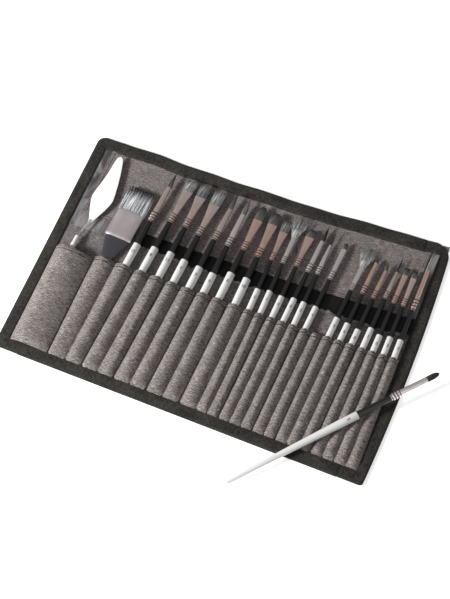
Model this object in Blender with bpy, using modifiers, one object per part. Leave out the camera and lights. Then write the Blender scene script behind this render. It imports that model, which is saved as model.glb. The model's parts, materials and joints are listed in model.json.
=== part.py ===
"""Brush roll case: a bound cloth roll with 24 pockets, a tip flap and the tools it holds.

The case lies open. X runs along its width, Y from the closed bottoms of the pockets to the tips
of the tools, Z up. The origin is at the middle of the underside. Everything is in metres.
"""
import bpy
import bmesh
from math import cos, pi, sin
from mathutils import Vector

MM = 0.001

# ---------------------------------------------------------------- driving dimensions
WIDTH = 560 * MM
DEPTH = 366 * MM
PANEL_THICK = 2.0 * MM
BIND_WIDE = 19 * MM
BIND_RIGHT = 12 * MM
BIND_THICK = 4.2 * MM
CLOTH = 0.8 * MM
GAP = 0.3 * MM
FOLD_GAP = 0.3 * MM
FOLD_MARGIN = 1.5 * MM

MOUTH_Y = 178 * MM
LEAN_LEFT, LEAN_MIDDLE, LEAN_SPAN = 10.5 / 160, 6.5 / 160, (200 * MM, 290 * MM)
FLAP_BOTTOM, FLAP_LEFT, FLAP_RIGHT = 241 * MM, 31 * MM, 536 * MM

BIG_POCKET, WASH_POCKET = 62 * MM, 29 * MM
WIDE_POCKET, WIDE_COUNT = 25.5 * MM, 9
SLIM_POCKET, SLIM_COUNT = 16.7 * MM, 13

# how many pockets each folding strip carries, from the left edge to the right one
STRIP_POCKETS = [1, 2, 2, 2, 2, 3, 3, 2, 3, 4]

# ---------------------------------------------------------------- colours (linear)
HEATHER = ((0.22, 0.20, 0.195, 1), 0.95, 0.0)
CANVAS = ((0.17, 0.155, 0.15, 1), 0.95, 0.0)
TAPE = ((0.045, 0.042, 0.036, 1), 0.9, 0.0)
PEARL = ((0.82, 0.83, 0.84, 1), 0.3, 0.0)
BLACK = ((0.012, 0.012, 0.013, 1), 0.25, 0.0)
STEEL = ((0.75, 0.73, 0.71, 1), 0.25, 1.0)
ROSE = ((0.62, 0.50, 0.47, 1), 0.28, 1.0)
HAIR = ((0.20, 0.18, 0.17, 1), 0.7, 0.0)


def pocket_edges():
    """The stitch lines at the pockets' bottoms, from the left binding to the right one."""
    edges = [BIND_WIDE]
    widths = [BIG_POCKET, WASH_POCKET] + [WIDE_POCKET] * (WIDE_COUNT - 1) + [SLIM_POCKET] * (SLIM_COUNT + 1)
    for width in widths:
        edges.append(edges[-1] + width)
    return edges


EDGES = pocket_edges()


def between(x, x0, x1, v0, v1):
    """The value at x of a ramp from v0 at x0 to v1 at x1, level outside it."""
    t = min(1.0, max(0.0, (x - x0) / (x1 - x0)))
    return v0 + t * (v1 - v0)


def leaned(x, y):
    """Where a stitch line that starts at x above the bottom binding has got to at depth y.

    The first fold is straight, the lines after it lean most, and they straighten again towards
    the right binding in the last strip.
    """
    start = between(x, EDGES[1], EDGES[3], 0, 1)
    middle = between(x, *LEAN_SPAN, LEAN_LEFT, LEAN_MIDDLE)
    lean = between(x, EDGES[-1 - STRIP_POCKETS[-1]], EDGES[-1], start * middle, 0)
    return x + lean * (y - BIND_WIDE)


def strip_spans():
    """First pocket, end pocket and the two fold lines of each strip; the outer strips reach the edges."""
    spans, first = [], 0
    for count in STRIP_POCKETS:
        left = None if first == 0 else EDGES[first]
        end = first + count
        right = None if end == len(EDGES) - 1 else EDGES[end]
        spans.append((first, end, left, right))
        first = end
    return spans


# ---------------------------------------------------------------- collections and materials
for old in list(bpy.data.objects):
    bpy.data.objects.remove(old, do_unlink=True)

parts = bpy.data.collections.new("brush_roll_case")
bpy.context.scene.collection.children.link(parts)

# the model frame: depths and widths are measured from the lower left corner of the open case
frame = bpy.data.objects.new("case_frame", None)
frame.location = (-WIDTH / 2, -DEPTH / 2, 0)
parts.objects.link(frame)


def material(name, look):
    """A Principled material from (colour, roughness, metallic)."""
    found = bpy.data.materials.get(name)
    if found:
        return found
    colour, rough, metal = look
    made = bpy.data.materials.new(name)
    made.use_nodes = True
    shader = made.node_tree.nodes["Principled BSDF"]
    shader.inputs["Base Color"].default_value = colour
    shader.inputs["Roughness"].default_value = rough
    shader.inputs["Metallic"].default_value = metal
    made.diffuse_color = colour
    return made


def add_object(name, mesh, mat, look):
    """Link a mesh as a named part under the case frame."""
    obj = bpy.data.objects.new(name, mesh)
    obj.data.materials.append(material(mat, look))
    obj.parent = frame
    parts.objects.link(obj)
    return obj


def from_bmesh(name, bm, mat, look):
    """Turn a finished bmesh into a part, faces outward."""
    bmesh.ops.recalc_face_normals(bm, faces=bm.faces)
    mesh = bpy.data.meshes.new(name)
    bm.to_mesh(mesh)
    bm.free()
    return add_object(name, mesh, mat, look)


# ---------------------------------------------------------------- lofts
def loft(bm, rings, close=True):
    """Skin a row of rings that all have the same number of points, with a cap at each end."""
    rows = [[bm.verts.new(p) for p in ring] for ring in rings]
    count = len(rows[0])
    for lower, upper in zip(rows, rows[1:]):
        for i in range(count):
            j = (i + 1) % count
            bm.faces.new((lower[i], lower[j], upper[j], upper[i]))
    if close:
        bm.faces.new(list(reversed(rows[0])))
        bm.faces.new(rows[-1])
    return rows


def slab(bm, left, right, bottom, top, low, high):
    """A plate between two leaning edges, from depth bottom to depth top and height low to high."""
    made = bmesh.ops.create_cube(bm, size=1.0)["verts"]
    for v in made:
        y = bottom if v.co.y < 0 else top
        x = left(y) if v.co.x < 0 else right(y)
        v.co = (x, y, low if v.co.z < 0 else high)
    return made


# ---------------------------------------------------------------- the cloth strips
def fold_edge(x, margin, fallback):
    """A function of y for a strip's side: a fold line moved by margin, or a straight edge."""
    if x is None:
        return lambda y: fallback
    return lambda y: leaned(x, y) + margin


def back_panel(index, left, right):
    """Outer shell and backing of one strip with its bottom and top binding.

    The binding stands above the fold lines, so it stops short of them by BIND_BACK each side.
    """
    bm = bmesh.new()
    a = fold_edge(left, FOLD_GAP / 2, BIND_WIDE + GAP)
    b = fold_edge(right, -FOLD_GAP / 2, WIDTH - BIND_RIGHT - GAP)
    slab(bm, a, b, 0, DEPTH, 0, PANEL_THICK)
    panel = from_bmesh(f"back_panel_{index:02d}", bm, "back canvas", CANVAS)
    for side, y0, y1 in (("bottom", 0, BIND_WIDE), ("top", DEPTH - BIND_WIDE, DEPTH)):
        bar = bmesh.new()
        slab(bar, lambda y: a(y) + BIND_BACK, lambda y: b(y) - BIND_BACK, y0, y1, PANEL_THICK / 2, BIND_THICK)
        cutter = from_bmesh(f"{side}_binding_{index:02d}", bar, "binding tape", TAPE)
        cutter.hide_render = True
        cutter.display_type = "WIRE"
        parts.objects.unlink(cutter)
        helpers.objects.link(cutter)
        join = panel.modifiers.new(side, "BOOLEAN")
        join.operation = "UNION"
        join.object = cutter
    return panel


BIND_BACK = 2.0 * MM
helpers = bpy.data.collections.new("brush_roll_case_helpers")
bpy.context.scene.collection.children.link(helpers)


def side_binding(name, low, high, outer):
    """The folded tape down one side of the case, with the corners on its outer edge rounded."""
    bm = bmesh.new()
    slab(bm, lambda y: low, lambda y: high, 0, DEPTH, 0, BIND_THICK)
    corner = [e for e in bm.edges if all(abs(v.co.x - outer) < 1e-6 for v in e.verts)
              and abs(e.verts[0].co.y - e.verts[1].co.y) < 1e-6]
    bmesh.ops.bevel(bm, geom=corner, offset=11 * MM, segments=4, affect="EDGES", profile=0.5)
    return from_bmesh(name, bm, "binding tape", TAPE)


# ---------------------------------------------------------------- the pockets
def bump(u, crest):
    """Height of a pocket's cloth across its width, 0 at the stitch lines and 1 at its crest."""
    warped = 0.5 * u / crest if u < crest else 0.5 + 0.5 * (u - crest) / (1 - crest)
    return sin(pi * warped) ** 1.3


def pocket_cloth(index, first, end, left, right):
    """The corrugated pocket cloth of one strip, open at the mouths and closed at the binding."""
    floor = PANEL_THICK + GAP
    depths = [BIND_WIDE + 2 * GAP, BIND_WIDE + 14 * MM, 0.45 * MOUTH_Y, MOUTH_Y]
    bm = bmesh.new()
    rows = []
    for depth in depths:
        t = (depth - BIND_WIDE) / (MOUTH_Y - BIND_WIDE)
        row = []
        a = fold_edge(left, FOLD_MARGIN, BIND_WIDE + GAP + CLOTH)(depth)
        b = fold_edge(right, -FOLD_MARGIN, WIDTH - BIND_RIGHT - GAP - CLOTH)(depth)
        row.append((a, floor))
        for p in range(first, end):
            x0, x1 = leaned(EDGES[p], depth), leaned(EDGES[p + 1], depth)
            if p == 0:
                x0 = BIND_WIDE + GAP
            x1 = min(x1, WIDTH - BIND_RIGHT - GAP)
            tool = POCKETED.get(p)
            low, high = pocket_heights(p)
            rise = low + (high - low) * t
            crest = 0.5 if tool is None else between((tool.x_at(depth) - x0) / (x1 - x0), 0.3, 0.7, 0.3, 0.7)
            for u in BUMP_STEPS:
                x = x0 + u * (x1 - x0)
                row.append((x, floor + (rise - floor) * bump(u, crest)))
            row.append((x1, floor))
        row[-1] = (b, floor)
        rows.append([bm.verts.new((x, depth, z)) for x, z in row])
    for lower, upper in zip(rows, rows[1:]):
        for i in range(len(lower) - 1):
            bm.faces.new((lower[i], lower[i + 1], upper[i + 1], upper[i]))
    mesh = bpy.data.meshes.new(f"pocket_cloth_{index:02d}")
    bm.to_mesh(mesh)
    bm.free()
    obj = add_object(f"pocket_cloth_{index:02d}", mesh, "heather cloth", HEATHER)
    shell = obj.modifiers.new("cloth", "SOLIDIFY")
    shell.thickness = CLOTH
    shell.offset = 1.0
    shell.use_even_offset = False
    return obj


BUMP_STEPS = [0.2, 0.33, 0.42, 0.5, 0.58, 0.67, 0.8]


def pocket_heights(p):
    """Height of a pocket's inner face above the table at its bottom and at its mouth."""
    if p == 0:
        return 15.5 * MM, 21.5 * MM
    if p == 1:
        return 8.5 * MM, 12.5 * MM
    if p <= WIDE_COUNT:
        return 9.0 * MM, 14.0 * MM
    return 8.2 * MM, 12.2 * MM


def tip_flap(index, left, right):
    """One strip of the flap that the tools' heads lie on."""
    bm = bmesh.new()
    a = fold_edge(left, FOLD_MARGIN, FLAP_LEFT)
    b = fold_edge(right, -FOLD_MARGIN, FLAP_RIGHT)
    low = PANEL_THICK + GAP
    slab(bm, a, b, FLAP_BOTTOM, DEPTH - BIND_WIDE - GAP, low, low + 1.2 * MM)
    return from_bmesh(f"tip_flap_{index:02d}", bm, "heather cloth", HEATHER)


# ---------------------------------------------------------------- the tools
SIDES = 8


def ring(centre, along, half_wide, half_thick, sides=SIDES):
    """An elliptical ring round a point of a tool that points along a level or tilted direction."""
    side = Vector((along.y, -along.x, 0)).normalized()
    up = side.cross(along).normalized()
    points = []
    for i in range(sides):
        a = 2 * pi * (i + 0.5) / sides
        points.append(centre + side * (half_wide * cos(a)) + up * (half_thick * sin(a)))
    return points


class Tool:
    """A tool in its pocket: the sections are (depth y, half width, half thickness) from the end to the tip."""

    def __init__(self, name, mouth_x, tip_x, tip_y, sections, mouth_z, end_z):
        self.name = name
        self.mouth_x = mouth_x
        self.slope = (tip_x - mouth_x) / (tip_y - MOUTH_Y)
        self.mouth_z = mouth_z
        self.rise = (mouth_z - end_z) / (MOUTH_Y - TOOL_END)
        self.sections = sections

    def x_at(self, y):
        return self.mouth_x + self.slope * (y - MOUTH_Y)

    def z_at(self, y):
        return self.mouth_z + self.rise * (y - MOUTH_Y)

    def along(self):
        return Vector((self.slope, 1, self.rise)).normalized()

    def build(self, name=None, start=0, stop=None, look=("brush", PEARL)):
        bm = bmesh.new()
        rings = []
        for y, wide, thick in self.sections[start:stop]:
            centre = Vector((self.x_at(y), y, self.z_at(y)))
            rings.append(ring(centre, self.along(), wide, thick))
        loft(bm, rings)
        return from_bmesh(name or self.name, bm, *look)


TOOL_END = 24 * MM
WIDE_RADIUS, SLIM_RADIUS = 4.9 * MM, 3.8 * MM

# pocket: (name, mouth x, tip x, top of the pearl handle, start and end of the ferrule, tip, head half width)
# the handles are 10 mm across in the wide pockets and 8 mm in the slim ones
BRUSHES = {
    2: ("round_large", 133, 144.6, 217, 257, 318, 344, 3.0),
    3: ("flat_large", 159.5, 173.4, 221, 266, 322, 342, 5.0),
    4: ("filbert_large", 187, 195.4, 222, 266, 319, 344, 4.6),
    5: ("flat_wide", 210, 220, 218, 261, 315, 341, 6.2),
    6: ("round_medium", 234.7, 245.3, 216, 263, 317, 346, 3.0),
    7: ("round_soft", 257.7, 265.9, 213, 260, 315, 342, 3.6),
    8: ("filbert_medium", 281.6, 289.8, 223, 262, 314, 339, 4.6),
    9: ("angled_flat", 306.8, 311.5, 223, 259, 315, 336, 4.6),
    10: ("flat_small", 325, 330, 214, 262, 310, 330, 3.2),
    11: ("fan_large", 345.0, 347.5, 217, 263, 306, 345, 12.0),
    12: ("filbert_small", 362.7, 368.9, 215, 265, 315, 329, 3.8),
    13: ("round_long", 380, 389, 218, 262, 315, 341, 3.4),
    14: ("liner_medium", 395.5, 401, 217, 263, 313, 333, 2.0),
    15: ("round_small", 412.8, 421.8, 216, 261, 312, 324, 2.4),
    17: ("fan_small", 448, 456.2, 210, 255, 294, 326, 10.2),
    18: ("round_short", 463.7, 471.5, 207, 255, 306, 315, 2.6),
    19: ("round_fine", 479.8, 487.6, 203, 253, 299, 311, 2.6),
    20: ("liner_long", 496, 503, 211, 258, 302, 325, 2.0),
    21: ("flat_fine", 510.6, 514.5, 205, 255, 301, 313, 3.2),
    22: ("filbert_fine", 525.5, 526.8, 207, 255, 300, 312, 3.2),
    23: ("dagger", 540.2, 541, 207, 253.5, 317, 349, 2.6),
}


def brush_sections(end, white_top, ferrule_start, ferrule_end, tip, radius, head):
    """(y, half width, half thickness) along a long-handled brush, all lengths in metres."""
    flat = min(head, 2.2 * MM)
    thick = 0.80 * radius
    neck = max(0.55 * head, 0.62 * radius)
    span = white_top - end
    return [
        (end, 0.30 * radius, 0.30 * radius),
        (end + 0.35 * span, 0.60 * radius, 0.60 * radius),
        (end + 0.80 * span, 0.97 * radius, 0.97 * radius),
        (white_top - 2 * MM, radius, radius),
        (white_top, 0.84 * radius, 0.84 * radius),
        (ferrule_start, 0.70 * radius, 0.70 * radius),
        (ferrule_start + 14 * MM, thick * 0.86, thick * 0.86),
        (ferrule_end, neck if head < 9 * MM else 4.2 * MM, min(flat, 1.9 * MM)),
        (0.5 * (ferrule_end + tip), head, min(flat, 1.7 * MM)),
        (tip, 0.55 * head if head < 9 * MM else 0.97 * head, 0.6 * MM),
    ]


def make_tools():
    """The pocketed tools by pocket number."""
    tools = {}
    for pocket, (name, mouth, tip_x, white, f0, f1, tip, head) in BRUSHES.items():
        radius = WIDE_RADIUS if pocket <= WIDE_COUNT else SLIM_RADIUS
        rows = brush_sections(TOOL_END, white * MM, f0 * MM, f1 * MM, tip * MM, radius, head * MM)
        mouth_z = PANEL_THICK + GAP + radius + (1.3 * MM if pocket <= WIDE_COUNT else 0.9 * MM)
        centre = 0.5 * (leaned(EDGES[pocket], MOUTH_Y) + leaned(EDGES[pocket + 1], MOUTH_Y))
        play = 2.2 * MM if pocket <= WIDE_COUNT else 0.8 * MM
        mouth_x = between(mouth * MM, centre - play, centre + play, centre - play, centre + play)
        tools[pocket] = Tool(f"brush_{name}", mouth_x, tip_x * MM, tip * MM, rows, mouth_z, 5.6 * MM)
    # the wash brush: a broad flat ferrule on a tapering handle
    wash = [(TOOL_END, 3.2, 2.4), (120 * MM, 5.0, 3.0), (180 * MM, 6.2, 3.4), (184 * MM, 12.0, 3.9),
            (213 * MM, 19.5, 4.2), (213.3 * MM, 20.5, 4.8), (258 * MM, 20.5, 4.2), (258.3 * MM, 20.0, 3.6),
            (280 * MM, 21.5, 3.0), (298 * MM, 20.5, 1.0)]
    tools[1] = Tool("wash_brush", 100.0 * MM, 107.0 * MM, 298 * MM,
                    [(y, w * MM, t * MM) for y, w, t in wash], 7.2 * MM, 4.9 * MM)
    # the palette knife: a round handle, a metal collar, a cranked neck and a leaf blade
    knife = [(TOOL_END + 6 * MM, 3.6, 3.4), (60 * MM, 6.0, 5.0), (130 * MM, 5.6, 5.0), (181 * MM, 5.0, 4.8),
             (196 * MM, 4.2, 4.2), (196.3 * MM, 2.2, 2.2), (222 * MM, 2.6, 2.0), (240 * MM, 10.5, 1.0),
             (266 * MM, 17.0, 0.7), (305 * MM, 11.5, 0.6), (328 * MM, 6.2, 0.5), (337 * MM, 2.0, 0.4)]
    tools[0] = Tool("palette_knife", 44.5 * MM, 47.8 * MM, 337 * MM,
                    [(y, w * MM, t * MM) for y, w, t in knife], 9.4 * MM, 8.6 * MM)
    return tools


POCKETED = make_tools()


def build_pocketed(pocket, tool):
    """The wash brush and the knife come apart into their pieces; a small brush is one node."""
    if pocket == 0:
        tool.build("palette_knife_handle", 0, 5, ("pearl lacquer", PEARL))
        cut = tool.sections[5]
        tool.sections[5] = (cut[0] + GAP, cut[1], cut[2])
        tool.build("palette_knife_blade", 5, None, ("steel", STEEL))
        return
    if pocket == 1:
        tool.build("wash_brush_handle", 0, 5, ("black lacquer", BLACK))
        tool.build("wash_brush_ferrule", 5, 7, ("ferrule", ROSE))
        tool.build("wash_brush_bristles", 7, None, ("bristles", HAIR))
        return
    tool.build(look=("pearl lacquer", PEARL))


def loose_brush():
    """The brush taken out of the empty pocket: it rests across the pockets at the case's right corner."""
    along = (LOOSE_TIP - LOOSE_END).normalized()
    length = (LOOSE_TIP - LOOSE_END).length
    rows = brush_sections(0, 0.615 * length, 0.77 * length, 0.94 * length, length, SLIM_RADIUS, 3.0 * MM)
    for name, start, stop, look in (("loose_brush_handle", 0, 6, ("pearl lacquer", PEARL)),
                                    ("loose_brush_head", 5, None, ("ferrule", ROSE))):
        bm = bmesh.new()
        rings = []
        for i, (s, wide, thick) in enumerate(rows[start:stop]):
            shift = GAP if start and i == 0 else 0
            rings.append(ring(LOOSE_END + along * (s + shift), along, wide, thick))
        loft(bm, rings)
        from_bmesh(name, bm, *look)


LOOSE_END = Vector((393.6, -60.4, 9.0)) * MM
LOOSE_TIP = Vector((604.8, 176.0, 20.6)) * MM


# ---------------------------------------------------------------- build it
for number, (first, end, left, right) in enumerate(strip_spans(), start=1):
    back_panel(number, left, right)
    pocket_cloth(number, first, end, left, right)
    tip_flap(number, left, right)
side_binding("binding_left", 0, BIND_WIDE, 0)
side_binding("binding_right", WIDTH - BIND_RIGHT, WIDTH, WIDTH)
for pocket, tool in POCKETED.items():
    build_pocketed(pocket, tool)
loose_brush()
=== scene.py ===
# %% [markdown]
# # A brush roll case
# This notebook dresses a measured model of a cloth brush roll: bound edges, a row of stitched pockets,
# a flap under the tools' heads, and the brushes and palette knife that it holds. The measured model gives
# every size and place; the cells below add the cloth, the thread, the lacquer, the metal and the hair.

# %% Load the measured model
import json
import random
from math import atan2, cos, exp, hypot, pi, radians, sin, sqrt

import bmesh
import bpy
from mathutils import Matrix, Vector, noise


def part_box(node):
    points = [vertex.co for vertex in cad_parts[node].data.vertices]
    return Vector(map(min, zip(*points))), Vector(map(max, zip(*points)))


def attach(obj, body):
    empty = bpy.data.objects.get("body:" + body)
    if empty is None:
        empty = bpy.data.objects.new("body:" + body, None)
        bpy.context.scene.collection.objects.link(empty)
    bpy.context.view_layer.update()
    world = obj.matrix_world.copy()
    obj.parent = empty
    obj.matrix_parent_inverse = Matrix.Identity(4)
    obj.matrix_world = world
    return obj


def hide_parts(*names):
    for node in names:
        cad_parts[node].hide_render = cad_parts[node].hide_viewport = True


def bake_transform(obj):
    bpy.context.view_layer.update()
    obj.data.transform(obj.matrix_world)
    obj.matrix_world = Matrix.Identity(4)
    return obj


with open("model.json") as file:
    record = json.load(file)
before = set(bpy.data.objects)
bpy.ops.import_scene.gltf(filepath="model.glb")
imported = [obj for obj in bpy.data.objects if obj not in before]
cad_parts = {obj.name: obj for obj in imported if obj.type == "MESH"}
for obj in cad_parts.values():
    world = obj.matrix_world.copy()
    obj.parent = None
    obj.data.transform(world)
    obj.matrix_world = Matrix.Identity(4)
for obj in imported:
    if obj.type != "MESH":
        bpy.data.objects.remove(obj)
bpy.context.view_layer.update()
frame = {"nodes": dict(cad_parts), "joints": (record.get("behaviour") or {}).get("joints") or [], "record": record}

MM = 0.001

# %% [markdown]
# ## The case's own measurements
# The cloth is laid out in a flat working frame: x from the left edge, y from the front edge, both in
# millimetres, as a sewer would mark it. The outer corners come from the side bindings of the model, and the
# fold lines come from its joints, where the strips are hinged.

# %% Case frame, fold lines and pocket lines
LOW, HIGH = Vector(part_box("binding_left")[0]), Vector(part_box("binding_right")[1])
WIDTH, DEPTH = (HIGH.x - LOW.x) / MM, (HIGH.y - LOW.y) / MM
LEFT_TAPE = (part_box("binding_left")[1][0] - LOW.x) / MM
RIGHT_TAPE = (HIGH.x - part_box("binding_right")[0][0]) / MM
TAPE = LEFT_TAPE
MOUTH = (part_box("pocket_cloth_05")[1][1] - LOW.y) / MM
FLAP_LOW = (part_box("tip_flap_05")[0][1] - LOW.y) / MM
FLAP_LEFT = (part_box("tip_flap_01")[0][0] - LOW.x) / MM
FLAP_RIGHT = (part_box("tip_flap_10")[1][0] - LOW.x) / MM
STRIPS = 10
POCKETS_OF = [1, 2, 2, 2, 2, 3, 3, 2, 3, 4]
POCKET_WIDE = [62, 29] + [25.5] * 8 + [16.7] * 14


def wander(x, y, z):
    """A smooth random height, the same each time for the same place."""
    return noise.noise(Vector((x, y, z)))


def settled(x, y):
    """Where a point of the flat layout comes to lie: the back edge sags a little towards the front, most at
    two thirds of its length, and the right binding bows out."""
    share = min(1.0, max(0.0, x / WIDTH))
    deep = min(1.0, max(0.0, y / DEPTH))
    over = min(1.0, max(0.0, (x - WIDTH + RIGHT_TAPE) / RIGHT_TAPE))
    wave = 1.6 * wander(x / 42, 0.5, 6.1) * deep ** 2
    return x + 6.5 * over * sin(pi * deep) ** 0.8, y - 9.0 * sin(pi * share ** 1.25) ** 0.8 * deep + wave


def place(x, y, z):
    """A point of the working frame, in millimetres, as a point of the model, in metres."""
    x, y = settled(x, y)
    return Vector((LOW.x + x * MM, LOW.y + y * MM, z * MM))


FOLDS = {}
for joint in frame["joints"]:
    if joint["name"].startswith("fold_"):
        FOLDS[int(joint["name"][5:])] = (Vector(joint["pos_m"]), Vector(joint["axis"]).normalized())


def fold_x(k, y):
    """Where fold line k crosses depth y; line 0 is the left edge of the case and the last the right one."""
    if k == 0:
        return 0.0
    if k == STRIPS:
        return WIDTH
    at, axis = FOLDS[k]
    return (at.x - LOW.x) / MM + axis.x / axis.y * (y - (at.y - LOW.y) / MM)


def pocket_x(p, y):
    """Where the stitch line at the left of pocket p crosses depth y."""
    edges = [TAPE]
    for wide in POCKET_WIDE:
        edges.append(edges[-1] + wide)
    first = 0
    for k, count in enumerate(POCKETS_OF, start=1):
        if p <= first + count:
            break
        first += count
    left = LEFT_TAPE if k == 1 else fold_x(k - 1, y)
    right = WIDTH - RIGHT_TAPE if k == STRIPS else fold_x(k, y)
    share = (edges[p] - edges[first]) / (edges[first + count] - edges[first])
    return left + share * (right - left)


print(f"case {WIDTH:.0f} x {DEPTH:.0f} mm, pockets' mouths at {MOUTH:.0f}, {len(FOLDS)} folds")

# %% [markdown]
# ## Writing a material as a sum
# A pattern is easier to read as arithmetic than as a web of nodes. One small class wraps a socket and turns
# the usual operators into Math nodes; every other node is made by one method.


# %% Shader arithmetic
class Value:
    """A number socket that adds Math nodes when it is used in an expression."""

    def __init__(self, mat, socket):
        self.mat, self.socket = mat, socket

    def _op(self, operation, *others):
        return Value(self.mat, self.mat.node("Math", {"operation": operation}, self, *others).outputs[0])

    def __add__(self, other): return self._op("ADD", other)
    def __sub__(self, other): return self._op("SUBTRACT", other)
    def __mul__(self, other): return self._op("MULTIPLY", other)
    def __lt__(self, other): return self._op("LESS_THAN", other)
    def sine(self): return self._op("SINE")
    def cosine(self): return self._op("COSINE")

    def clamp(self):
        held = self._op("MULTIPLY_ADD", 1.0, 0.0)
        held.socket.node.use_clamp = True
        return held


class Material:
    """A Principled material with short ways to add nodes."""

    def __init__(self, name, rough=0.9, metal=0.0, sheen=0.0, coat=0.0, coat_rough=0.1, specular=0.5):
        self.data = bpy.data.materials.new(name)
        self.data.use_nodes = True
        self.nodes, self.links = self.data.node_tree.nodes, self.data.node_tree.links
        self.shader = self.nodes["Principled BSDF"]
        fixed = {"Roughness": rough, "Metallic": metal, "Sheen Weight": sheen, "Coat Weight": coat,
                 "Coat Roughness": coat_rough, "Specular IOR Level": specular}
        for socket, value in fixed.items():
            self.shader.inputs[socket].default_value = value

    def node(self, kind, settings=None, *inputs, **named):
        """Any other node: its type, its settings, and its inputs in order or by name."""
        made = self.nodes.new("ShaderNode" + kind)
        for key, value in (settings or {}).items():
            if key == "stops":
                ramp = made.color_ramp
                while len(ramp.elements) < len(value):
                    ramp.elements.new(0.5)
                for element, (at, colour) in zip(ramp.elements, value):
                    element.position, element.color = at, (*colour, 1)
            else:
                setattr(made, key, value)
        for socket, value in [*zip(made.inputs, inputs), *((made.inputs[k], v) for k, v in named.items())]:
            self.plug(socket, value)
        return made

    def plug(self, socket, value):
        """Set or link one input."""
        if isinstance(value, Value):
            value = value.socket
        if isinstance(value, bpy.types.NodeSocket):
            self.links.new(value, socket)
        else:
            socket.default_value = value

    def coords(self, which="UV", scale=(1, 1, 1)):
        """Coordinates in metres, from the piece's own UV map or its Object space, scaled."""
        raw = self.node("TexCoord").outputs[which]
        return self.node("Mapping", None, raw, Scale=scale).outputs[0]

    def noise(self, where, scale, detail=2.0, rough=0.5, distortion=0.0):
        made = self.node("TexNoise", None, Vector=where, Scale=scale, Detail=detail, Roughness=rough,
                         Distortion=distortion)
        return Value(self, made.outputs["Fac"])

    def ramp(self, value, *stops):
        return self.node("ValToRGB", {"stops": stops}, value).outputs["Color"]

    def mix(self, share, first, second, blend="MIX"):
        made = self.nodes.new("ShaderNodeMix")
        made.data_type, made.blend_type = "RGBA", blend
        colours = [c if isinstance(c, bpy.types.NodeSocket) else (*c, 1) for c in (first, second)]
        for socket, value in zip((made.inputs[0], made.inputs[6], made.inputs[7]), (share, *colours)):
            self.plug(socket, value)
        return made.outputs[2]

    def set(self, colour, height, rough=None, bump=0.4, distance=0.0003):
        """Feed the shader: a colour, a height in 0..1 that stands up to distance metres, and a roughness."""
        self.plug(self.shader.inputs["Base Color"], (*colour, 1) if isinstance(colour, tuple) else colour)
        if rough is not None:
            self.plug(self.shader.inputs["Roughness"], rough)
        made = self.node("Bump", None, Strength=bump, Distance=distance, Height=height)
        self.links.new(made.outputs[0], self.shader.inputs["Normal"])
        return self.data


print("shader helpers ready")

# %% [markdown]
# ## Heather cloth
# Heather is woven from yarns whose fibres were dyed apart, so light and dark flecks run along each yarn. Two
# stretched noises, one along the weft and one along the warp, make the flecks, and a longer one makes slubs;
# the first two, as a height, are also the weave that the light catches. The pattern reads the cloth's own
# flat map, so it follows every pocket's bulge.


# %% Heather, canvas, lining and tape
def woven(name, dark, middle, light):
    """Plain-woven heather: flecks along both yarns between three tones."""
    mat = Material(name, rough=0.93, sheen=0.15, specular=0.25)
    weft = mat.noise(mat.coords(scale=(330, 1500, 1)), 1.0, 3.0, 0.65)
    warp = mat.noise(mat.coords(scale=(1100, 420, 1)), 1.0, 2.0, 0.6)
    cloud = mat.noise(mat.coords(scale=(30, 60, 1)), 1.0, 3.0, 0.6)
    slub = mat.noise(mat.coords(scale=(120, 1250, 1)), 1.0, 3.0, 0.65)
    tone = (weft * 0.55 + warp * 0.4 + slub * 0.85 + cloud * 0.15 - 0.975) * 2.7 + 0.5
    colour = mat.ramp(tone.clamp(), (0.0, dark), (0.5, middle), (1.0, light))
    return mat.set(colour, height=weft * 0.6 + warp * 0.6, bump=0.5, distance=0.0006)


RIB_PITCH = 0.0016


def binding_tape(name, colour, edge):
    """Ribbed polyester tape: fine cross ribs, slightly paler where it is worn."""
    mat = Material(name, rough=0.85, sheen=0.05, specular=0.25)
    along = Value(mat, mat.node("SeparateXYZ", None, mat.coords()).outputs[0])
    ribs = (along * (2 * pi / RIB_PITCH)).sine()
    dust = mat.noise(mat.coords(scale=(300, 300, 1)), 1.0, 3.0, 0.6)
    worn = mat.noise(mat.coords(scale=(25, 60, 1)), 1.0, 3.0, 0.6)
    shade = ((dust - 0.5) * 2.2 + (worn - 0.5) * 1.6 + 0.42).clamp()
    return mat.set(mat.mix(shade, colour, edge), height=ribs * 0.5 + dust, bump=0.35, distance=0.0004)


def satin(name, dark, light, specular=0.5):
    """Smooth nylon lining with soft creases; painted sheen: the colour runs from dark to light with the creases'
    height.
    """
    mat = Material(name, rough=0.42, specular=specular)
    crease_and_sheen = mat.noise(mat.coords(scale=(60, 22, 1)), 1.0, 4.0, 0.55, 0.6)
    # painted sheen: where the crease noise is higher, the colour is lighter
    colour = mat.ramp(crease_and_sheen, (0.36, dark), (0.58, light))
    return mat.set(colour, rough=crease_and_sheen * 0.25 + 0.3, height=crease_and_sheen, bump=0.6, distance=0.0015)


POCKET_CLOTH = woven("heather pocket cloth", (0.034, 0.028, 0.026), (0.158, 0.137, 0.130),
                     (0.44, 0.40, 0.38))
FLAP_CLOTH = woven("heather flap cloth", (0.045, 0.037, 0.036), (0.135, 0.115, 0.112), (0.34, 0.305, 0.30))
BACK_CLOTH = woven("heather backing", (0.035, 0.030, 0.030), (0.115, 0.101, 0.099), (0.30, 0.27, 0.265))
OUTER_CLOTH = woven("heather outer canvas", (0.035, 0.031, 0.030), (0.130, 0.118, 0.114),
                    (0.36, 0.335, 0.325))
TAPE_MAT = binding_tape("charcoal binding tape", (0.006, 0.0052, 0.0045), (0.046, 0.041, 0.036))
LINING = satin("grey satin lining", (0.05, 0.047, 0.048), (0.21, 0.20, 0.205))
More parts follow.
